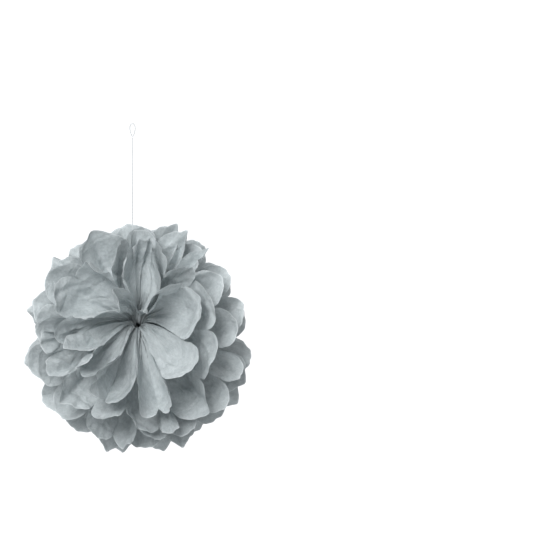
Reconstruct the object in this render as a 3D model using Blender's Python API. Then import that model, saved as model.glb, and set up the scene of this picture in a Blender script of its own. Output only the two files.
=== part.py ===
"""Tissue paper pom pom on its hanging thread.

Eight sheets of tissue paper are pleated together into one strip, the strip is bound round its
middle with a wire, its ends are cut round, and the pleats are opened into one fan above the
binding and one below it. Four sheets are pulled to the front and four to the back, which makes
the ball. The origin is the point that the pom pom hangs from, and the front faces -Y.
"""

from math import copysign, cos, pi, radians, sin, sqrt

import bmesh
import bpy
import numpy as np
from mathutils import Vector

# The hang, in metres
HUB_DROP = 0.212  # from the hanging point down to the binding
THREAD_WIDTH = 0.001
THREAD_POINTS = 60
LOOP_HEIGHT = 0.014
LOOP_WIDTH = 0.007
LOOP_TAPER = 0.28  # how much the loop narrows towards its knot
LOOP_POINTS = 20
CLEARANCE = 0.0004

# The strip that all the sheets are folded into
PANELS = 8
PETAL_UP = 0.111  # the binding sits a little above the strip's middle
PETAL_DOWN = 0.117
ROUND_END = 0.02  # half of a panel's width, the radius of its cut end
ROUND_POWER = 3  # the cut end's curve fades out this fast towards the binding
TISSUE = 0.00035

# The binding
WAIST_HALF_WIDTH = 0.005
WAIST_HALF_HEIGHT = 0.0013
FIRST_RING = 0.0072
SHEET_PITCH = 0.00078
MIDDLE_GAP = 0.0013  # half of the gap that the thread runs up in, between the fourth and fifth sheets
WIRE = 0.0008
WIRE_SIDE = 0.0065
WIRE_DEPTH = 0.0058
WIRE_SQUARENESS = 0.7
WIRE_POINTS = 24

# How a fan leaves the binding
RISE_LENGTH = 0.018
RISE_LAG = 0.006  # a flat sheet starts to rise this much later than the steepest one
STEEPEST = 60.0
STEEP_START = 2.4  # how much steeper than its final pull a fold starts out
OPEN_FROM = 0.018
OPEN_LENGTH = 0.062
SLIT_CLOSED = 0.6  # share of the waist's height that a slit loses further out
NEAR_EDGE = 7.0  # degrees that a fan's first fold stands off the slit, at the binding

# Where the columns of a panel and the rows of a fan are cut
PANEL_CUTS = (0.0, 0.28, 0.72)
FAN_ROWS = (0.0, 0.035, 0.07, 0.11, 0.16, 0.23, 0.33, 0.47, 0.64, 0.82, 0.94, 1.0)

# The folds of each sheet, from its right edge to its left one: the angle round the binding and
# how far the fold is pulled away from the middle plane, both in degrees
FRONT_SHEETS = (
    (
        "tissue_front_1",
        ((-4, 58), (46, 45), (64, 74), (80, 22), (94, 29), (99, 62), (124, 72), (162, 48), (187, 42)),
        ((5, 56), (56, 62), (72, 41), (88, 67), (116, 48), (129, 76), (150, 52), (166, 68), (183, 50)),
    ),
    (
        "tissue_front_2",
        ((4, 42), (44, 35), (65, 43), (79, 13), (94, 20), (111, 47), (136, 30), (166, 38), (190, 28)),
        ((-6, 44), (33, 40), (64, 32), (76, 26), (98, 45), (122, 36), (152, 42), (168, 34), (184, 41)),
    ),
    (
        "tissue_front_3",
        ((-8, 22), (20, 30), (47, 25), (60, 17), (79, 7), (97, 12), (128, 22), (160, 16), (184, 19)),
        ((10, 16), (27, 22), (51, 25), (72, 18), (90, 26), (104, 13), (123, 28), (148, 20), (173, 27)),
    ),
    (
        "tissue_front_4",
        ((2, 12), (24, 15), (46, 10), (66, 6), (84, 2), (104, 5), (128, 10), (150, 8), (176, 10)),
        ((10, 8), (34, 9), (56, 12), (76, 9), (96, 6), (114, 6), (134, 10), (154, 8), (176, 12)),
    ),
)
# The four back sheets repeat one rule: a mean pull and how far the folds swing about it, in degrees
BACK_SHEETS = (
    ("tissue_back_1", 11, 3),
    ("tissue_back_2", 26, 6),
    ("tissue_back_3", 42, 9),
    ("tissue_back_4", 59, 13),
)
BACK_SEED = 7
# How far each front sheet leans up in front of the binding, so that the ball's middle hides it
FRONT_LEANS = (0.014, 0.008, 0.003, 0.0)
LEAN_FROM = 0.015
LEAN_LENGTH = 0.02
LEAN_BACK_FROM = 0.042
LEAN_BACK_LENGTH = 0.05
BACK_STRAY = 4.0  # degrees that a back fold may stray round the binding
BACK_UNEVENNESS = 0.2

# How deep a panel is scooped between its folds, as a share of its width there
SCOOP_INNER = 0.3
SCOOP_OUTER = 0.1
SCOOP_FULL_AT = 0.17  # share of the way out at which the scoop reaches its depth
SCOOP_GONE = 40.0  # a panel whose two folds differ this much in pull, in degrees, is drawn flat


def clear_scene():
    for obj in list(bpy.data.objects):
        bpy.data.objects.remove(obj)


def finish(name, colour, roughness, metallic=0.0):
    """A plain material in the piece's own colour."""
    material = bpy.data.materials.new(name)
    material.use_nodes = True
    shader = material.node_tree.nodes["Principled BSDF"]
    shader.inputs["Base Color"].default_value = (*colour, 1.0)
    shader.inputs["Roughness"].default_value = roughness
    shader.inputs["Metallic"].default_value = metallic
    return material


def smooth_step(value):
    """0 before 0, 1 after 1 and an even curve between them."""
    clipped = min(max(value, 0.0), 1.0)
    return clipped * clipped * (3.0 - 2.0 * clipped)


def back_folds(random, mean, swing):
    """The folds of one fan of a back sheet: evenly spread, in and out by turns, each a little off."""
    folds = []
    for index in range(PANELS + 1):
        angle = 180.0 * index / PANELS + random.uniform(-BACK_STRAY, BACK_STRAY)
        pull = mean + swing * (-1) ** index * random.uniform(1.0 - BACK_UNEVENNESS, 1.0 + BACK_UNEVENNESS)
        folds.append((angle, pull))
    return tuple(folds)


def fold_point(folds, index, reach, lean):
    """Where a fold passes at this distance from the binding, seen as right, up and pull.

    All of a fan's folds start out alike and steeper than they end, as the binding holds them."""
    fold = folds[index]
    mean = sum(pull for _, pull in folds) / len(folds)
    rise = smooth_step((reach - FIRST_RING - RISE_LAG * (1.0 - mean / STEEPEST)) / RISE_LENGTH)
    near = NEAR_EDGE + (180.0 - 2.0 * NEAR_EDGE) * index / PANELS
    angle = radians(near + (fold[0] - near) * rise)
    steep = 90.0 * (1.0 - (1.0 - mean / 90.0) ** STEEP_START)
    opened = smooth_step((reach - OPEN_FROM) / OPEN_LENGTH)
    pull = radians(steep + (fold[1] - steep) * opened) * rise
    leaning = smooth_step((reach - LEAN_FROM) / LEAN_LENGTH)
    leaning *= 1.0 - smooth_step((reach - LEAN_BACK_FROM) / LEAN_BACK_LENGTH)
    up = reach * cos(pull) * sin(angle) + WAIST_HALF_HEIGHT * (1.0 - SLIT_CLOSED * rise) + lean * leaning
    return Vector((reach * cos(pull) * cos(angle), up, reach * sin(pull)))


def panel_point(folds, column, share, length, lean):
    """A point of one fan: column counts panels from the right edge, share runs from the binding to the tip."""
    index = min(int(column), PANELS - 1)
    across = column - index
    corner = 1.0 - sqrt(max(0.0, 1.0 - (2.0 * across - 1.0) ** 2))
    reach = FIRST_RING + share * (length - FIRST_RING) - ROUND_END * corner * share**ROUND_POWER
    right = fold_point(folds, index, reach, lean)
    left = fold_point(folds, index + 1, reach, lean)
    flat = right.lerp(left, across)
    width = (left - right).length
    normal = (left - right).cross(flat).normalized()
    steepness = abs(folds[index + 1][1] - folds[index][1]) / SCOOP_GONE
    scoop = (SCOOP_INNER + (SCOOP_OUTER - SCOOP_INNER) * share) * max(0.0, 1.0 - steepness)
    return flat + normal * (scoop * width * 4.0 * across * (1.0 - across) * smooth_step(share / SCOOP_FULL_AT))


def panel_columns():
    return [index + cut for index in range(PANELS) for cut in PANEL_CUTS] + [float(PANELS)]


def sheet(name, level, side, upper, lower, lean, material):
    """One sheet as a grid of the flat paper, each row moved to where the folds carry it."""
    columns = panel_columns()
    half = len(FAN_ROWS)
    row_count = 2 * half + 2
    mesh = bmesh.new()
    bmesh.ops.create_grid(mesh, x_segments=len(columns) - 1, y_segments=row_count - 1, size=1.0)
    mesh.verts.ensure_lookup_table()
    for row_index in range(row_count):
        for column_index, column in enumerate(columns):
            if row_index < half:
                share = FAN_ROWS[half - 1 - row_index]
                place = panel_point(lower, column, share, PETAL_DOWN, -lean)
                up = -place.y
            elif row_index >= half + 2:
                share = FAN_ROWS[row_index - half - 2]
                place = panel_point(upper, column, share, PETAL_UP, lean)
                up = place.y
            else:
                place = Vector((WAIST_HALF_WIDTH * cos(pi * column / PANELS), 0.0, 0.0))
                up = WAIST_HALF_HEIGHT if row_index == half + 1 else -WAIST_HALF_HEIGHT
            vert = mesh.verts[row_index * len(columns) + column_index]
            vert.co = (WIRE_SIDE + place.x, -side * (level + place.z), up - HUB_DROP)
    bmesh.ops.recalc_face_normals(mesh, faces=mesh.faces)
    return add_piece(name, mesh, material)


def add_piece(name, mesh, material):
    data = bpy.data.meshes.new(name)
    mesh.to_mesh(data)
    mesh.free()
    data.materials.append(material)
    obj = bpy.data.objects.new(name, data)
    bpy.context.scene.collection.objects.link(obj)
    thicken = obj.modifiers.new("paper", "SOLIDIFY")
    thicken.thickness = TISSUE
    thicken.offset = 0.0
    return obj


def tube(name, points, thickness, material, closed=False, resolution=2):
    """A round wire or thread along these points."""
    data = bpy.data.curves.new(name, "CURVE")
    data.dimensions = "3D"
    data.bevel_depth = thickness / 2.0
    data.bevel_resolution = resolution
    data.use_fill_caps = not closed
    spline = data.splines.new("POLY")
    spline.points.add(len(points) - 1)
    for point, place in zip(spline.points, points):
        point.co = (*place, 1.0)
    spline.use_cyclic_u = closed
    data.materials.append(material)
    obj = bpy.data.objects.new(name, data)
    bpy.context.scene.collection.objects.link(obj)
    return obj


def make_sheets():
    tissue = finish("tissue_grey", (0.39, 0.42, 0.43), 0.9)
    for count, (name, upper, lower) in enumerate(FRONT_SHEETS):
        level = MIDDLE_GAP + SHEET_PITCH * (len(FRONT_SHEETS) - 1 - count)
        sheet(name, level, 1, upper, lower, FRONT_LEANS[count], tissue)
    random = np.random.RandomState(BACK_SEED)
    for count, (name, mean, swing) in enumerate(BACK_SHEETS):
        level = MIDDLE_GAP + SHEET_PITCH * count
        upper = back_folds(random, mean, swing)
        lower = back_folds(random, mean, swing)
        sheet(name, level, -1, upper, lower, 0.0, tissue)


def make_wire():
    """The binding wire runs round the waist of the strip, through the slits between the fans."""
    points = []
    for step in range(WIRE_POINTS):
        turn = 2.0 * pi * step / WIRE_POINTS
        x = WIRE_SIDE * copysign(abs(cos(turn)) ** WIRE_SQUARENESS, cos(turn))
        y = WIRE_DEPTH * copysign(abs(sin(turn)) ** WIRE_SQUARENESS, sin(turn))
        points.append((WIRE_SIDE + x, y, -HUB_DROP))
    tube("binding_wire", points, WIRE, finish("wire", (0.6, 0.6, 0.6), 0.4, 1.0), closed=True)


def make_thread():
    """The thread is tied to the wire, runs up between the two middle sheets and ends in a loop."""
    white = finish("thread_white", (0.85, 0.85, 0.85), 0.6)
    bottom = -HUB_DROP + WIRE / 2.0 + CLEARANCE
    top = -LOOP_HEIGHT - CLEARANCE
    points = [(0.0, 0.0, top + (bottom - top) * step / (THREAD_POINTS - 1)) for step in range(THREAD_POINTS)]
    tube("hanging_thread", points, THREAD_WIDTH, white)
    loop = []
    for step in range(LOOP_POINTS):
        turn = 2.0 * pi * step / LOOP_POINTS
        swell = 0.5 * LOOP_WIDTH * (1.0 - LOOP_TAPER + LOOP_TAPER * sin(turn))
        middle = -LOOP_HEIGHT / 2.0
        reach = LOOP_HEIGHT / 2.0 - THREAD_WIDTH / 2.0
        loop.append((swell * cos(turn), 0.0, middle + reach * sin(turn)))
    tube("hanging_loop", loop, THREAD_WIDTH, white, closed=True)


def main():
    clear_scene()
    make_sheets()
    make_wire()
    make_thread()


main()
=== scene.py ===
"""Looks of the tissue paper pom pom: its eight folded sheets, its hanging thread and a plain studio."""

from math import cos, pi, radians, sin

import bmesh
import bpy
import numpy as np
from bpy.props import FloatProperty, FloatVectorProperty, IntProperty, PointerProperty
from bpy.types import Operator, Panel, PropertyGroup
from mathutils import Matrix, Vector, noise


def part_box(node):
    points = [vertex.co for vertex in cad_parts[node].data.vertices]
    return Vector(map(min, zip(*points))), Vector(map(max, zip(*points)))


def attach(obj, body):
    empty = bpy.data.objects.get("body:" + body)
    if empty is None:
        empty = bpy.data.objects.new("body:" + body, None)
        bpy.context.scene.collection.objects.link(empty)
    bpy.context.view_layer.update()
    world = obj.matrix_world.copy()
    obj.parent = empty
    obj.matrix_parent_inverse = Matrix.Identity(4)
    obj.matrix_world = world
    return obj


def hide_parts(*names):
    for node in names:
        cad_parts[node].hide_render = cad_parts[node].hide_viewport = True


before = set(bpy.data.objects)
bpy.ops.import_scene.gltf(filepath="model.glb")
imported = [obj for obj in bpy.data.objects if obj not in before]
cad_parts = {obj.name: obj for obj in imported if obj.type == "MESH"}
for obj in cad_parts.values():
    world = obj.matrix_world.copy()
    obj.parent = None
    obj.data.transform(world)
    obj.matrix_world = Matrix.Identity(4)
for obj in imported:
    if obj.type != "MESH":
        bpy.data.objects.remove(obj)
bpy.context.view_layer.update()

bl_info = {
    "name": "Tissue Pom Pom",
    "version": (1, 0, 0),
    "blender": (4, 5, 0),
    "location": "View3D > Sidebar > Pom Pom",
    "description": "Folds tissue paper sheets into a hanging pom pom",
    "category": "Object",
}

# The folded strip, as the construction has it
PANELS = 8
FIRST_RING = 0.0072
RISE_LENGTH = 0.018
RISE_LAG = 0.006
STEEPEST = 60.0
STEEP_START = 2.4  # how much steeper than its final pull a fold starts out
OPEN_FROM = 0.018
OPEN_LENGTH = 0.062
SLIT_CLOSED = 0.6  # share of the waist's height that a slit loses further out
NEAR_EDGE = 7.0
WAIST_HALF_WIDTH = 0.005
WAIST_HALF_HEIGHT = 0.0013
SHEET_PITCH = 0.00078
MIDDLE_GAP = 0.0013
ROUND_END = 0.02
ROUND_POWER = 3
SCOOP_GONE = 40.0
PANEL_WIDTH = 0.039

# The binding wire's box is centred on the binding, and the thread is tied to its left side
WIRE_LOW, WIRE_HIGH = (Vector(corner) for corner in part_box("binding_wire"))
HUB = (WIRE_LOW + WIRE_HIGH) / 2.0
HUB.y = 0.0

# The folds of each front sheet, from its right edge to its left one: the angle round the binding
# and how far the fold is pulled away from the middle plane, both in degrees
FRONT_SHEETS = (
    (
        "tissue_front_1",
        ((-4, 58), (46, 45), (64, 74), (80, 22), (94, 29), (99, 62), (124, 72), (162, 48), (187, 42)),
        ((5, 56), (56, 62), (72, 41), (88, 67), (116, 48), (129, 76), (150, 52), (166, 68), (183, 50)),
    ),
    (
        "tissue_front_2",
        ((4, 42), (44, 35), (65, 43), (79, 13), (94, 20), (111, 47), (136, 30), (166, 38), (190, 28)),
        ((-6, 44), (33, 40), (64, 32), (76, 26), (98, 45), (122, 36), (152, 42), (168, 34), (184, 41)),
    ),
    (
        "tissue_front_3",
        ((-8, 22), (20, 30), (47, 25), (60, 17), (79, 7), (97, 12), (128, 22), (160, 16), (184, 19)),
        ((10, 16), (27, 22), (51, 25), (72, 18), (90, 26), (104, 13), (123, 28), (148, 20), (173, 27)),
    ),
    (
        "tissue_front_4",
        ((2, 12), (24, 15), (46, 10), (66, 6), (84, 2), (104, 5), (128, 10), (150, 8), (176, 10)),
        ((10, 8), (34, 9), (56, 12), (76, 9), (96, 6), (114, 6), (134, 10), (154, 8), (176, 12)),
    ),
)
# The back sheets repeat one rule: a mean pull and how far the folds swing about it, in degrees
BACK_SHEETS = (
    ("tissue_back_1", 11, 3),
    ("tissue_back_2", 26, 6),
    ("tissue_back_3", 42, 9),
    ("tissue_back_4", 59, 13),
)
BACK_SEED = 7
BACK_STRAY = 4.0
BACK_UNEVENNESS = 0.2
BACK_SEED_STEP = 50  # keeps the back sheets' curls and dents apart from the front sheets'
# How far each front sheet leans up in front of the binding, so that the ball's middle hides it
FRONT_LEANS = (0.014, 0.008, 0.003, 0.0)
LEAN_FROM = 0.015
LEAN_LENGTH = 0.02
LEAN_BACK_FROM = 0.042
LEAN_BACK_LENGTH = 0.05

# Fineness of the meshes
CUTS_PER_PANEL = 20
ROWS_PER_FAN = 56
ROW_POWER = 0.9  # rows lie a little closer together at the cut edge
THREAD_POINTS = 40

# How the panels of a fan differ: ranges of which each panel gets one value
SHARPNESS = (-0.8, 1.3)  # 0 and below is a round hollow, 1 and above a sharp crease
CREASE_PLACE = (0.3, 0.7)  # share of a panel's width
TRIM = (-0.004, 0.003)  # how much further than the rest a petal reaches
SCOOP_SPREAD = (0.8, 1.3)
CURL_SPREAD = (-0.7, 1.0)

# The shape of a panel
SCOOP_LEAST = 0.35  # share of its depth that the hollow of a steep panel keeps
SHARP_DEPTH = 1.4  # how much deeper a sharp crease gets by the tip
SETTLE_RATE = 6.0  # the hollows reach their depth in the first sixth of a petal
OUTER_FROM = 0.5  # share of a petal's length past which its tip curls and twists
TWIST = 0.0132
TWIST_POWER = 1.5
POINT_WIDTH = 0.13  # share of a panel's width
RAGGED_WAVES = (23.0, 7.3)  # radians a panel
RAGGED_PHASE = 6.0
# Width of the painted highlight along a petal's cut edge
RIM_HIGHLIGHT_WIDTH = 0.0011

# Gathers run out from the binding and take up the width that the folds leave over
GATHERS_PER_PANEL = 2.5
GATHER_DRIFT = 1.6
GATHER_DRIFT_RATE = 2.3  # radians a panel
GATHER_FADE = 0.022
THROAT = 0.05
THROAT_NESTING = 0.7
SPARE_MOST = 3.2
SPARE_MOST_NEAR = 14.0

# Dents from handling: how many a metre of flat paper, and their depth against the crumple
WAVES = (42.0, 1.6)
FACETS = (58.0, 0.9)
FINE_DENTS = (210.0, 0.35)
DENT_LEVEL = 0.3
DENT_SQUEEZE = 0.75  # below 1 the dents are longer along a petal than across it
DENT_FADE = 0.02
DENT_PLACES = 9.0

# Straight creases from handling
CREASES_PER_FAN = 34
CREASE_HALF_WIDTH = 0.0034
CREASE_REACH = (0.03, 0.115)
CREASE_TURN = 0.8
CREASE_FADE = 0.022
CREASE_FULL = 1.6

# The studio: heights are from the top of the thread's loop, and only the sensor's width is in millimetres
FLOOR_LEVEL = -1.3
GLOW_FULL_LEVEL = -0.9
GLOW_LEAST = 0.1
GLOW_MOST = 0.8
SKY_STRENGTH = 0.42
VIEW_HEIGHT = 0.54
SENSOR_WIDTH = 36.0
CAMERA_ASIDE = 0.131
CAMERA_ABOVE = 0.065


def linear(code):
    """An sRGB hex colour as linear red, green and blue."""
    channels = [int(code[place : place + 2], 16) / 255.0 for place in (0, 2, 4)]
    return tuple(c / 12.92 if c <= 0.04045 else ((c + 0.055) / 1.055) ** 2.4 for c in channels)


def add_node(tree, kind, settings=(), values=(), links=()):
    """Adds a node: settings are its own properties, values its sockets and links what feeds them."""
    node = tree.nodes.new(kind)
    for key, setting in dict(settings).items():
        setattr(node, key, setting)
    for key, value in dict(values).items():
        node.inputs[key].default_value = value
    for key, socket in dict(links).items():
        tree.links.new(socket, node.inputs[key])
    return node


def new_material(name):
    """An empty node material and its tree."""
    material = bpy.data.materials.new(name)
    material.use_nodes = True
    material.node_tree.nodes.clear()
    return material, material.node_tree


# ---------------------------------------------------------------- settings


class PaperSettings(PropertyGroup):
    petal_up: FloatProperty(
        name="Upper petal length", description="From the binding up to a petal's tip",
        default=0.111, unit="LENGTH",
    )
    petal_down: FloatProperty(
        name="Lower petal length", description="From the binding down to a petal's tip",
        default=0.117, unit="LENGTH",
    )
    scoop_inner: FloatProperty(
        name="Scoop near the binding",
        description="Depth of a panel's hollow over its width, near the binding",
        default=0.7, subtype="FACTOR",
    )
    scoop_outer: FloatProperty(
        name="Scoop at the tip", description="Depth of a panel's hollow over its width, at the tip",
        default=0.2, subtype="FACTOR",
    )
    tip_curl: FloatProperty(
        name="Tip curl", description="How far a petal's tip may bend off its panel",
        default=0.011, unit="LENGTH",
    )
    crumple: FloatProperty(
        name="Crumple", description="Depth of the dents that handling left in the paper",
        default=0.0015, unit="LENGTH",
    )
    crease: FloatProperty(
        name="Crease", description="Height of the straight creases that handling left",
        default=0.002, unit="LENGTH",
    )
    point: FloatProperty(
        name="Tip point", description="How far the tip of a creased petal stands out",
        default=0.006, unit="LENGTH",
    )
    ragged: FloatProperty(
        name="Ragged cut", description="How far the cut edge strays from its curve",
        default=0.0009, unit="LENGTH",
    )
    fullness: FloatProperty(
        name="Fullness", description="Share of the paper's width that its gathers keep",
        default=1.0, subtype="FACTOR",
    )
    gathers: FloatProperty(
        name="Gathers", description="Greatest depth of the gathers that run out from the binding",
        default=0.0026, unit="LENGTH",
    )
    seed: IntProperty(name="Seed", description="Which set of curls and dents the sheets get", default=33)
    colour: FloatVectorProperty(
        name="Tissue colour", description="Colour of the dyed tissue",
        default=linear("B0B8BA"), size=3, subtype="COLOR", min=0.0, max=1.0,
    )
    # Besides the real pale fibres of thin places, this colour paints a highlight along the cut edges
    pale: FloatVectorProperty(
        name="Pale fibre colour", description="Colour of thin places and cut edges",
        default=linear("D6DCDE"), size=3, subtype="COLOR", min=0.0, max=1.0,
    )


class ThreadSettings(PropertyGroup):
    width: FloatProperty(
        name="Thread width", description="Diameter of the hanging thread", default=0.001, unit="LENGTH",
    )
    colour: FloatVectorProperty(
        name="Thread colour", description="Colour of the hanging thread",
        default=linear("D2D5D7"), size=3, subtype="COLOR", min=0.0, max=1.0,
    )


class StudioSettings(PropertyGroup):
    floor_colour: FloatVectorProperty(
        name="Backdrop colour", description="Colour of the floor and backdrop",
        default=linear("D0D2D3"), size=3, subtype="COLOR", min=0.0, max=1.0,
    )
    distance: FloatProperty(
        name="Camera distance", description="From the lens to the binding", default=3.0, unit="LENGTH",
    )
    overhead_power: FloatProperty(
        name="Overhead light", description="Power of the light overhead, in watts", default=10.0,
    )
    front_power: FloatProperty(
        name="Front light", description="Power of the front light, in watts", default=28.0,
    )


# ---------------------------------------------------------------- materials


def tissue_material(settings):
    """Dyed tissue paper, machine made: matt, lets light through, faintly cloudy, with fine lying fibres."""
    material, tree = new_material("dyed_tissue_paper")
    flat = add_node(tree, "ShaderNodeUVMap", settings={"uv_map": "paper"}).outputs["UV"]
    # The paper's own map is in metres, so a scale of 1000 over a size in mm draws cells of that size.
    cloud = add_node(
        tree, "ShaderNodeTexNoise", values={"Scale": 1000 / 9.0, "Detail": 4.0, "Roughness": 0.6},
        links={"Vector": flat},
    ).outputs["Fac"]
    # Tissue fibres are 2 to 3 mm long and lie in flocks about 2 mm wide, which is what shows.
    grain = add_node(tree, "ShaderNodeMapping", values={"Scale": (1.0, 0.6, 1.0)}, links={"Vector": flat})
    fibre = add_node(
        tree, "ShaderNodeTexNoise", values={"Scale": 1000 / 2.1, "Detail": 4.0, "Roughness": 0.75},
        links={"Vector": grain.outputs["Vector"]},
    ).outputs["Fac"]
    # A painted highlight along the cut edges: an attribute lifts the colour there toward the pale one, on top
    # of the real mottling.
    rim_highlight = add_node(tree, "ShaderNodeAttribute", settings={"attribute_name": "rim_highlight"}).outputs["Fac"]
    tone = add_node(
        tree, "ShaderNodeMix", settings={"data_type": "FLOAT"},
        values={"Factor": 0.6}, links={"A": cloud, "B": fibre},
    ).outputs["Result"]
    spread = add_node(
        tree, "ShaderNodeMapRange",
        values={"From Min": 0.38, "From Max": 0.62, "To Min": 0.0, "To Max": 0.66},
        links={"Value": tone},
    ).outputs["Result"]
    mottle_and_rim_highlight = add_node(
        tree, "ShaderNodeMath", settings={"operation": "ADD", "use_clamp": True}, links={0: spread, 1: rim_highlight},
    ).outputs["Value"]
    colour = add_node(
        tree, "ShaderNodeMix", settings={"data_type": "RGBA"},
        values={"A": (*settings.colour, 1.0), "B": (*settings.pale, 1.0)}, links={"Factor": mottle_and_rim_highlight},
    ).outputs["Result"]
    bump = add_node(
        tree, "ShaderNodeBump", values={"Strength": 0.5, "Distance": 0.0006}, links={"Height": fibre},
    ).outputs["Normal"]
    # Soft facets of crumpled tissue, about 14 mm across.
    facet = add_node(
        tree, "ShaderNodeTexVoronoi", values={"Scale": 1000 / 14.0}, links={"Vector": flat},
    ).outputs["Distance"]
    bump = add_node(
        tree, "ShaderNodeBump", values={"Strength": 0.8, "Distance": 0.0026},
        links={"Height": facet, "Normal": bump},
    ).outputs["Normal"]
    # Sharp creases about 30 mm apart, bent by the paper's cloudiness.
    bent = add_node(
        tree, "ShaderNodeVectorMath", settings={"operation": "MULTIPLY_ADD"},
        values={1: (0.011, 0.011, 0.0)}, links={0: cloud, 2: flat},
    ).outputs["Vector"]
    edge = add_node(
        tree, "ShaderNodeTexVoronoi", settings={"feature": "DISTANCE_TO_EDGE"}, values={"Scale": 1000 / 30.0},
        links={"Vector": bent},
    ).outputs["Distance"]
    crease = add_node(
        tree, "ShaderNodeMapRange", values={"From Max": 0.09}, links={"Value": edge},
    ).outputs["Result"]
    bump = add_node(
        tree, "ShaderNodeBump", values={"Strength": 0.45, "Distance": 0.0011},
        links={"Height": crease, "Normal": bump},
    ).outputs["Normal"]
    sheet = add_node(
        tree, "ShaderNodeBsdfPrincipled",
        values={"Roughness": 0.85, "Specular IOR Level": 0.15, "Sheen Weight": 0.04, "Sheen Roughness": 0.6},
        links={"Base Color": colour, "Normal": bump},
    ).outputs["BSDF"]
    glow = add_node(
        tree, "ShaderNodeBsdfTranslucent", links={"Color": colour, "Normal": bump},
    ).outputs["BSDF"]
    mixed = add_node(tree, "ShaderNodeMixShader", values={"Fac": 0.1}, links={1: sheet, 2: glow})
    add_node(tree, "ShaderNodeOutputMaterial", links={"Surface": mixed.outputs["Shader"]})
    return material


def thread_material(settings):
    """Bleached polyester sewing thread, twisted: white with a soft shine that follows its lay, and painted
    shade in bands along the lay.
    """
    material, tree = new_material("white_sewing_thread")
    place = add_node(tree, "ShaderNodeTexCoord").outputs["Object"]
    # One turn of the lay is about 1.6 mm on a thread this thick.
    lay = add_node(
        tree, "ShaderNodeTexWave",
        settings={"wave_type": "BANDS", "bands_direction": "DIAGONAL"},
        values={"Scale": 2.0 * pi * 1000 / 1.6 / 20.0, "Distortion": 0.6, "Detail": 2.0},
        links={"Vector": place},
    ).outputs["Fac"]
    # Darker bands along the lay are painted shade in the grooves between the plies; the thread itself is one
    # white.
    painted_groove_shade = tuple(channel * 0.86 for channel in settings.colour)
    colour = add_node(
        tree, "ShaderNodeMix", settings={"data_type": "RGBA"},
        values={"A": (*painted_groove_shade, 1.0), "B": (*settings.colour, 1.0)}, links={"Factor": lay},
    ).outputs["Result"]
    bump = add_node(
        tree, "ShaderNodeBump", values={"Strength": 0.5, "Distance": 0.0002}, links={"Height": lay},
    ).outputs["Normal"]
    shader = add_node(
        tree, "ShaderNodeBsdfPrincipled", values={"Roughness": 0.55, "Sheen Weight": 0.2},
        links={"Base Color": colour, "Normal": bump},
    )
    add_node(tree, "ShaderNodeOutputMaterial", links={"Surface": shader.outputs["BSDF"]})
    return material


def wire_material():
    """Galvanised iron binding wire: dull zinc grey, mottled with fine spangles."""
    material, tree = new_material("galvanised_binding_wire")
    place = add_node(tree, "ShaderNodeTexCoord").outputs["Object"]
    spangle = add_node(
        tree, "ShaderNodeTexNoise", values={"Scale": 1000 / 0.7, "Detail": 3.0}, links={"Vector": place},
    ).outputs["Fac"]
    share = add_node(
        tree, "ShaderNodeMapRange", values={"From Min": 0.3, "From Max": 0.7}, links={"Value": spangle},
    ).outputs["Result"]
    colour = add_node(
        tree, "ShaderNodeMix", settings={"data_type": "RGBA"},
        values={"A": (*linear("8E9194"), 1.0), "B": (*linear("B9BCBE"), 1.0)}, links={"Factor": share},
    ).outputs["Result"]
    rough = add_node(
        tree, "ShaderNodeMapRange", values={"To Min": 0.32, "To Max": 0.55}, links={"Value": spangle},
    ).outputs["Result"]
    shader = add_node(
        tree, "ShaderNodeBsdfPrincipled", values={"Metallic": 1.0},
        links={"Base Color": colour, "Roughness": rough},
    )
    add_node(tree, "ShaderNodeOutputMaterial", links={"Surface": shader.outputs["BSDF"]})
    return material


def backdrop_material(settings):
    """Seamless background paper, so white and evenly lit that it glows a little."""
    material, tree = new_material("seamless_background_paper")
    place = add_node(tree, "ShaderNodeTexCoord").outputs["Object"]
    tooth = add_node(
        tree, "ShaderNodeTexNoise", values={"Scale": 1000 / 3.0}, links={"Vector": place},
    ).outputs["Fac"]
    pale = tuple(channel * 0.97 for channel in settings.floor_colour)
    share = add_node(
        tree, "ShaderNodeMapRange", values={"From Min": 0.3, "From Max": 0.7}, links={"Value": tooth},
    ).outputs["Result"]
    colour = add_node(
        tree, "ShaderNodeMix", settings={"data_type": "RGBA"},
        values={"A": (*pale, 1.0), "B": (*settings.floor_colour, 1.0)}, links={"Factor": share},
    ).outputs["Result"]
    height = add_node(tree, "ShaderNodeSeparateXYZ", links={"Vector": place}).outputs["Z"]
    glow = add_node(
        tree, "ShaderNodeMapRange",
        values={
            "From Min": FLOOR_LEVEL, "From Max": GLOW_FULL_LEVEL, "To Min": GLOW_LEAST, "To Max": GLOW_MOST,
        },
        links={"Value": height},
    ).outputs["Result"]
    shader = add_node(
        tree, "ShaderNodeBsdfPrincipled",
        values={"Roughness": 0.9, "Emission Color": (1.0, 1.0, 1.0, 1.0)},
        links={"Base Color": colour, "Emission Strength": glow},
    )
    add_node(tree, "ShaderNodeOutputMaterial", links={"Surface": shader.outputs["BSDF"]})
    return material


# ---------------------------------------------------------------- folded paper


def smooth_step(value):
    """Runs from 0 to 1 as value does, level at both ends."""
    clipped = np.clip(value, 0.0, 1.0)
    return clipped * clipped * (3.0 - 2.0 * clipped)


def back_folds(random, mean, swing):
    """The folds of one fan of a back sheet: evenly spread, in and out by turns, each a little off."""
    folds = []
    for index in range(PANELS + 1):
        angle = 180.0 * index / PANELS + random.uniform(-BACK_STRAY, BACK_STRAY)
        pull = mean + swing * (-1) ** index * random.uniform(1.0 - BACK_UNEVENNESS, 1.0 + BACK_UNEVENNESS)
        folds.append((angle, pull))
    return tuple(folds)


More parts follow.
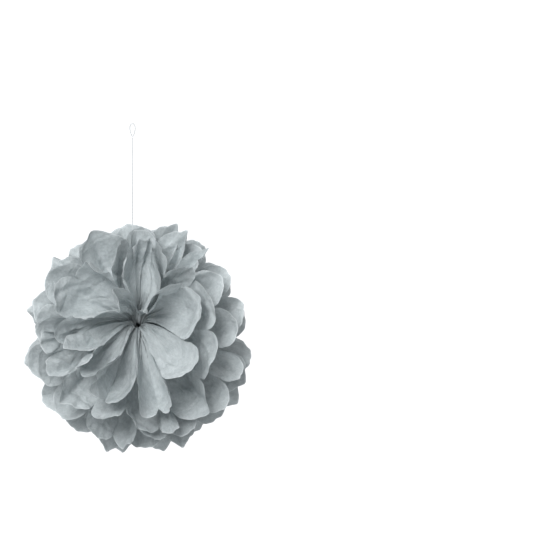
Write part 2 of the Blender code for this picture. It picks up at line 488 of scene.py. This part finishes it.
def fold_points(folds, index, reach, lean):
    """Where the folds pass at these distances from the binding, seen as right, up and pull."""
    table = np.array(folds, float)
    mean = table[:, 1].mean()
    rise = smooth_step((reach - FIRST_RING - RISE_LAG * (1.0 - mean / STEEPEST)) / RISE_LENGTH)
    near = NEAR_EDGE + (180.0 - 2.0 * NEAR_EDGE) * index / PANELS
    angle = np.radians(near + (table[index, 0] - near) * rise)
    last = table[index, 1]
    steep = 90.0 * (1.0 - (1.0 - mean / 90.0) ** STEEP_START)
    opened = smooth_step((reach - OPEN_FROM) / OPEN_LENGTH)
    pull = np.radians(steep + (last - steep) * opened) * rise
    flat = reach * np.cos(pull)
    leaning = smooth_step((reach - LEAN_FROM) / LEAN_LENGTH)
    leaning = leaning * (1.0 - smooth_step((reach - LEAN_BACK_FROM) / LEAN_BACK_LENGTH))
    up = flat * np.sin(angle) + WAIST_HALF_HEIGHT * (1.0 - SLIT_CLOSED * rise) + lean * leaning
    return np.stack((flat * np.cos(angle), up, reach * np.sin(pull)), axis=-1)


def panel_profile(across, middle, sharp):
    """Cross-section of a panel between its folds: a round hollow, or a crease near its middle line."""
    hollow = 1.0 - (2.0 * across - 1.0) ** 2
    crease = np.minimum(across / middle, (1.0 - across) / (1.0 - middle))
    return hollow + (crease - hollow) * sharp


def pressed_creases(across, reach, random):
    """Straight creases that handling pressed in, as low ridges and furrows on the flat paper."""
    height = np.zeros(reach.shape)
    for _ in range(CREASES_PER_FAN):
        side = across - random.uniform(0.0, PANELS * PANEL_WIDTH)
        out = reach - random.uniform(*CREASE_REACH)
        turn = random.uniform(-CREASE_TURN, CREASE_TURN)
        off = side * cos(turn) - out * sin(turn)
        along = side * sin(turn) + out * cos(turn)
        ridge = np.clip(1.0 - np.abs(off) / CREASE_HALF_WIDTH, 0.0, 1.0)
        fade = np.clip(CREASE_FULL - np.abs(along) / CREASE_FADE, 0.0, 1.0)
        height += random.choice((-1.0, 1.0)) * ridge * fade
    return height


def fan_points(folds, length, lean, settings, random):
    """The points of one fan, row by row from the binding out, with what its dents and the painted highlight
    along its edge are made from.
    """
    columns = np.arange(PANELS * CUTS_PER_PANEL + 1) / CUTS_PER_PANEL
    shares = np.linspace(0.0, 1.0, ROWS_PER_FAN) ** ROW_POWER
    index = np.minimum(columns.astype(int), PANELS - 1)
    across = columns - index
    bow = 1.0 - (2.0 * across - 1.0) ** 2
    corner = 1.0 - np.sqrt(bow)
    sharp = np.clip(random.uniform(*SHARPNESS, PANELS), 0.0, 1.0)[index]
    middle = random.uniform(*CREASE_PLACE, PANELS)[index]
    extra = random.uniform(*TRIM, PANELS)[index] * bow
    extra = extra + settings.point * sharp**2 * np.exp(-(((across - middle) / POINT_WIDTH) ** 2))
    phase = random.uniform(0.0, RAGGED_PHASE)
    wobble = np.sin(columns * RAGGED_WAVES[0] + phase) * np.sin(columns * RAGGED_WAVES[1])
    extra = extra + settings.ragged * bow * wobble
    reach = FIRST_RING + shares[:, None] * (length - FIRST_RING)
    reach = reach + (extra - ROUND_END * corner)[None, :] * shares[:, None] ** ROUND_POWER
    right = fold_points(folds, index, reach, lean)
    left = fold_points(folds, index + 1, reach, lean)
    flat = right + (left - right) * across[None, :, None]
    width = np.linalg.norm(left - right, axis=-1)
    normal = np.cross(left - right, flat)
    normal /= np.linalg.norm(normal, axis=-1, keepdims=True)
    pulls = np.array([fold[1] for fold in folds], float)
    steepness = np.clip(1.0 - np.abs(np.diff(pulls)) / SCOOP_GONE, SCOOP_LEAST, 1.0)[index]
    share = shares[:, None]
    scoop = settings.scoop_inner + (settings.scoop_outer - settings.scoop_inner) * share
    scoop = scoop * (1.0 + SHARP_DEPTH * sharp * share)
    profile = panel_profile(across, middle, sharp)
    depth = scoop * width * profile * steepness * random.uniform(*SCOOP_SPREAD, PANELS)[index]
    outer = np.clip((share - OUTER_FROM) / (1.0 - OUTER_FROM), 0.0, 1.0)
    curl = random.uniform(*CURL_SPREAD, PANELS)[index] * settings.tip_curl * outer**2 * bow
    twist = random.uniform(-TWIST, TWIST, PANELS)[index] * outer**TWIST_POWER * (2.0 * across - 1.0) * bow
    settle = smooth_step(share * SETTLE_RATE)
    points = flat + normal * (depth * settle - curl + twist)[..., None]
    to_edge = (1.0 - share) * (length + extra - ROUND_END * corner)[None, :]
    # A shallow parabola is longer than its chord by 8/3 of its depth's share squared.
    curved = width * (1.0 + 8.0 / 3.0 * scoop**2)
    most = SPARE_MOST + SPARE_MOST_NEAR * (1.0 - smooth_step(reach / THROAT))
    spare = np.clip(settings.fullness * PANEL_WIDTH / curved, 1.0, most)
    gather = width / GATHERS_PER_PANEL / (2.0 * pi) * np.sqrt(2.0 * (spare**2 - 1.0))
    gather = np.minimum(gather, settings.gathers) * smooth_step((reach - FIRST_RING) / GATHER_FADE)
    return points, normal, reach, columns, to_edge, gather


def crumpled(points, normal, reach, columns, gather, settings, random):
    """Dents from handling and fine gathers that fade out from the binding, worked out on the flat paper."""
    place = Vector(random.uniform(0.0, DENT_PLACES, 3))
    drift = GATHER_DRIFT * np.sin(columns[None, :] * GATHER_DRIFT_RATE)
    ripple = np.sin(2.0 * pi * GATHERS_PER_PANEL * columns[None, :] + drift)
    # Near the binding the gathers fill the throat, and all the sheets nest in one another's.
    ripple = ripple - THROAT_NESTING * (1.0 - smooth_step(reach / THROAT))
    fade = smooth_step((reach - FIRST_RING) / DENT_FADE)
    dents = np.empty(reach.shape)
    for row in range(reach.shape[0]):
        for column in range(reach.shape[1]):
            along = reach[row, column] * DENT_SQUEEZE
            spot = Vector((columns[column] * PANEL_WIDTH, along, 0.0)) + place
            wave = noise.noise(spot * WAVES[0]) * WAVES[1]
            distances = noise.voronoi(spot * FACETS[0])[0]
            fine = noise.noise(spot * FINE_DENTS[0]) * FINE_DENTS[1]
            dents[row, column] = wave + (distances[1] - distances[0]) * FACETS[1] - DENT_LEVEL + fine
    pressed = settings.crease * pressed_creases(columns[None, :] * PANEL_WIDTH, reach, random)
    offset = gather * ripple + (settings.crumple * dents + pressed) * fade
    return points + normal * offset[..., None]


def fold_sheet(name, level, side, upper, lower, lean, settings, random, material):
    """One sheet: the flat paper as a grid, with each vertex carried to where the folds put it."""
    mesh = bmesh.new()
    across_count = PANELS * CUTS_PER_PANEL + 1
    bmesh.ops.create_grid(mesh, x_segments=across_count - 1, y_segments=2 * ROWS_PER_FAN + 1, size=1.0)
    mesh.verts.ensure_lookup_table()
    paper = mesh.loops.layers.uv.new("paper")
    # This layer carries the painted highlight along the cut edges.
    rim_highlight_layer = mesh.verts.layers.float.new("rim_highlight")
    places, flats, rim_highlights = [], [], []
    for folds, length, way in ((lower, settings.petal_down, -1.0), (upper, settings.petal_up, 1.0)):
        points, normal, reach, columns, to_edge, gather = fan_points(
            folds, length, way * lean, settings, random
        )
        points = crumpled(points, normal, reach, columns, gather, settings, random)
        across = np.broadcast_to(columns[None, :] * PANEL_WIDTH, reach.shape)
        world = np.stack(
            (points[..., 0], -side * (level + points[..., 2]), way * points[..., 1]), axis=-1
        )
        flat = np.stack((across, way * (reach + WAIST_HALF_HEIGHT)), axis=-1)
        # A painted highlight along the cut edge: full at the edge, gone a little way in.
        rim_highlight = np.clip(1.0 - to_edge / RIM_HIGHLIGHT_WIDTH, 0.0, 1.0)
        waist = np.zeros((1, across_count, 3))
        waist[0, :, 0] = WAIST_HALF_WIDTH * np.cos(pi * columns / PANELS)
        waist[0, :, 1] = -side * level
        waist[0, :, 2] = way * WAIST_HALF_HEIGHT
        world = np.concatenate((waist, world))
        flat = np.concatenate((flat[:1] * (1.0, 0.0), flat))
        rim_highlight = np.concatenate((np.zeros((1, across_count)), rim_highlight))
        order = slice(None, None, -1) if way < 0.0 else slice(None)
        places.append(world[order].reshape(-1, 3))
        flats.append(flat[order].reshape(-1, 2))
        rim_highlights.append(rim_highlight[order].reshape(-1))
    places = np.concatenate(places) + np.array(HUB)
    flats = np.concatenate(flats)
    rim_highlights = np.concatenate(rim_highlights)
    for vert, place, rim_highlight in zip(mesh.verts, places.tolist(), rim_highlights.tolist()):
        vert.co = place
        vert[rim_highlight_layer] = rim_highlight
    for face in mesh.faces:
        face.smooth = True
        for loop in face.loops:
            loop[paper].uv = flats[loop.vert.index]
    for edge in mesh.edges:
        first, second = (vert.index % across_count for vert in edge.verts)
        if first == second and first % CUTS_PER_PANEL == 0:
            edge.smooth = False
    bmesh.ops.recalc_face_normals(mesh, faces=mesh.faces)
    data = bpy.data.meshes.new(name)
    mesh.to_mesh(data)
    mesh.free()
    data.materials.append(material)
    obj = bpy.data.objects.new(name + "_paper", data)
    bpy.context.scene.collection.objects.link(obj)
    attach(obj, "root")
    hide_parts(name)


# ---------------------------------------------------------------- operators


class POMPOM_OT_front_sheets(Operator):
    """Fold the four sheets that are pulled to the front"""

    bl_idname = "pompom.front_sheets"
    bl_label = "Front sheets"

    def execute(self, context):
        settings = context.scene.pompom_paper
        material = tissue_material(settings)
        for count, (name, upper, lower) in enumerate(FRONT_SHEETS):
            random = np.random.RandomState(settings.seed + count)
            level = MIDDLE_GAP + SHEET_PITCH * (len(FRONT_SHEETS) - 1 - count)
            fold_sheet(name, level, 1.0, upper, lower, FRONT_LEANS[count], settings, random, material)
        return {"FINISHED"}


class POMPOM_OT_back_sheets(Operator):
    """Fold the four sheets that are pulled to the back"""

    bl_idname = "pompom.back_sheets"
    bl_label = "Back sheets"

    def execute(self, context):
        settings = context.scene.pompom_paper
        material = tissue_material(settings)
        shared = np.random.RandomState(BACK_SEED)
        for count, (name, mean, swing) in enumerate(BACK_SHEETS):
            upper = back_folds(shared, mean, swing)
            lower = back_folds(shared, mean, swing)
            random = np.random.RandomState(settings.seed + BACK_SEED_STEP + count)
            level = MIDDLE_GAP + SHEET_PITCH * count
            fold_sheet(name, level, -1.0, upper, lower, 0.0, settings, random, material)
        return {"FINISHED"}


class POMPOM_OT_binding(Operator):
    """Finish the binding wire that holds the strip at its waist"""

    bl_idname = "pompom.binding"
    bl_label = "Binding wire"

    def execute(self, context):
        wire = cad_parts["binding_wire"]
        wire.data.materials.clear()
        wire.data.materials.append(wire_material())
        return {"FINISHED"}


class POMPOM_OT_thread(Operator):
    """Hang the pom pom on its thread, with the loop tied at the thread's end"""

    bl_idname = "pompom.thread"
    bl_label = "Hanging thread"

    def execute(self, context):
        settings = context.scene.pompom_thread
        material = thread_material(settings)
        low, high = (Vector(corner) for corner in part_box("hanging_thread"))
        heights = np.linspace(low.z, high.z, THREAD_POINTS)
        points = [Vector((0.0, 0.0, height)) for height in heights]
        data = bpy.data.curves.new("thread_line", "CURVE")
        data.dimensions = "3D"
        data.bevel_depth = settings.width / 2.0
        data.bevel_resolution = 3
        data.use_fill_caps = True
        spline = data.splines.new("POLY")
        spline.points.add(len(points) - 1)
        for point, place in zip(spline.points, points):
            point.co = (*place, 1.0)
        data.materials.append(material)
        thread = bpy.data.objects.new("white_thread", data)
        context.scene.collection.objects.link(thread)
        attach(thread, "root")
        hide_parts("hanging_thread")
        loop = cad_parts["hanging_loop"]
        loop.data.materials.clear()
        loop.data.materials.append(material)
        return {"FINISHED"}


class POMPOM_OT_studio(Operator):
    """Set up the floor, the backdrop, the lights and the camera"""

    bl_idname = "pompom.studio"
    bl_label = "Studio"

    def execute(self, context):
        settings = context.scene.pompom_studio
        self.backdrop(context, settings)
        self.lights(context, settings)
        self.camera(context, settings)
        return {"FINISHED"}

    def backdrop(self, context, settings):
        """One seamless sweep: a floor that curves up into a wall."""
        floor, front, back, bend, half, height, steps = FLOOR_LEVEL, -3.6, 4.2, 0.9, 5.0, 3.2, 12
        mesh = bmesh.new()
        profile = [Vector((-half, front, floor)), Vector((-half, back - bend, floor))]
        for step in range(1, steps + 1):
            turn = 0.5 * pi * step / steps
            profile.append(Vector((-half, back - bend + bend * sin(turn), floor + bend - bend * cos(turn))))
        profile.append(Vector((-half, back, height)))
        verts = [mesh.verts.new(place) for place in profile]
        edges = [mesh.edges.new(pair) for pair in zip(verts, verts[1:])]
        made = bmesh.ops.extrude_edge_only(mesh, edges=edges)["geom"]
        moved = [item for item in made if isinstance(item, bmesh.types.BMVert)]
        bmesh.ops.translate(mesh, verts=moved, vec=(2.0 * half, 0.0, 0.0))
        bmesh.ops.recalc_face_normals(mesh, faces=mesh.faces)
        for face in mesh.faces:
            face.smooth = True
        data = bpy.data.meshes.new("backdrop")
        mesh.to_mesh(data)
        mesh.free()
        data.materials.append(backdrop_material(settings))
        obj = bpy.data.objects.new("backdrop", data)
        context.scene.collection.objects.link(obj)

    def lights(self, context, settings):
        """A weak broad light overhead, a stronger one at the front left, and a pale sky."""
        for name, place, size, power in (
            ("overhead_light", Vector((-0.4, -0.8, 1.1)), 1.2, settings.overhead_power),
            ("front_light", Vector((-0.5, -1.9, 0.5)), 0.8, settings.front_power),
        ):
            data = bpy.data.lights.new(name, "AREA")
            data.energy = power
            data.size = size
            light = bpy.data.objects.new(name, data)
            light.location = place
            light.rotation_euler = (HUB - place).to_track_quat("-Z", "Y").to_euler()
            context.scene.collection.objects.link(light)
        world = bpy.data.worlds.new("pale_sky")
        world.use_nodes = True
        background = world.node_tree.nodes["Background"]
        background.inputs["Color"].default_value = (0.98, 0.99, 1.0, 1.0)
        background.inputs["Strength"].default_value = SKY_STRENGTH
        context.scene.world = world

    def camera(self, context, settings):
        """A long lens, level with the pom pom's upper edge, that leaves the pom pom low on the left."""
        data = bpy.data.cameras.new("camera")
        data.sensor_width = SENSOR_WIDTH
        data.lens = SENSOR_WIDTH * settings.distance / VIEW_HEIGHT
        camera = bpy.data.objects.new("camera", data)
        camera.location = (HUB.x + CAMERA_ASIDE, -settings.distance, HUB.z + CAMERA_ABOVE)
        camera.rotation_euler = (radians(90.0), 0.0, 0.0)
        context.scene.collection.objects.link(camera)
        context.scene.camera = camera
        context.scene.view_settings.view_transform = "Standard"


class POMPOM_PT_panel(Panel):
    bl_label = "Tissue Pom Pom"
    bl_idname = "POMPOM_PT_panel"
    bl_space_type = "VIEW_3D"
    bl_region_type = "UI"
    bl_category = "Pom Pom"

    def draw(self, context):
        layout = self.layout
        scene = context.scene
        for settings in (scene.pompom_paper, scene.pompom_thread, scene.pompom_studio):
            box = layout.box()
            for key in settings.__annotations__:
                box.prop(settings, key)
        for operator in OPERATORS:
            layout.operator(operator.bl_idname)


OPERATORS = (
    POMPOM_OT_studio,
    POMPOM_OT_thread,
    POMPOM_OT_binding,
    POMPOM_OT_front_sheets,
    POMPOM_OT_back_sheets,
)
SETTINGS = (PaperSettings, ThreadSettings, StudioSettings)


def register():
    for kind in (*SETTINGS, *OPERATORS, POMPOM_PT_panel):
        bpy.utils.register_class(kind)
    bpy.types.Scene.pompom_paper = PointerProperty(type=PaperSettings)
    bpy.types.Scene.pompom_thread = PointerProperty(type=ThreadSettings)
    bpy.types.Scene.pompom_studio = PointerProperty(type=StudioSettings)


def unregister():
    for key in ("pompom_paper", "pompom_thread", "pompom_studio"):
        delattr(bpy.types.Scene, key)
    for kind in (POMPOM_PT_panel, *reversed(OPERATORS), *reversed(SETTINGS)):
        bpy.utils.unregister_class(kind)


def main():
    register()
    bpy.ops.pompom.studio()
    bpy.ops.pompom.thread()
    bpy.ops.pompom.binding()
    bpy.ops.pompom.front_sheets()
    bpy.ops.pompom.back_sheets()


if __name__ == "__main__":
    main()
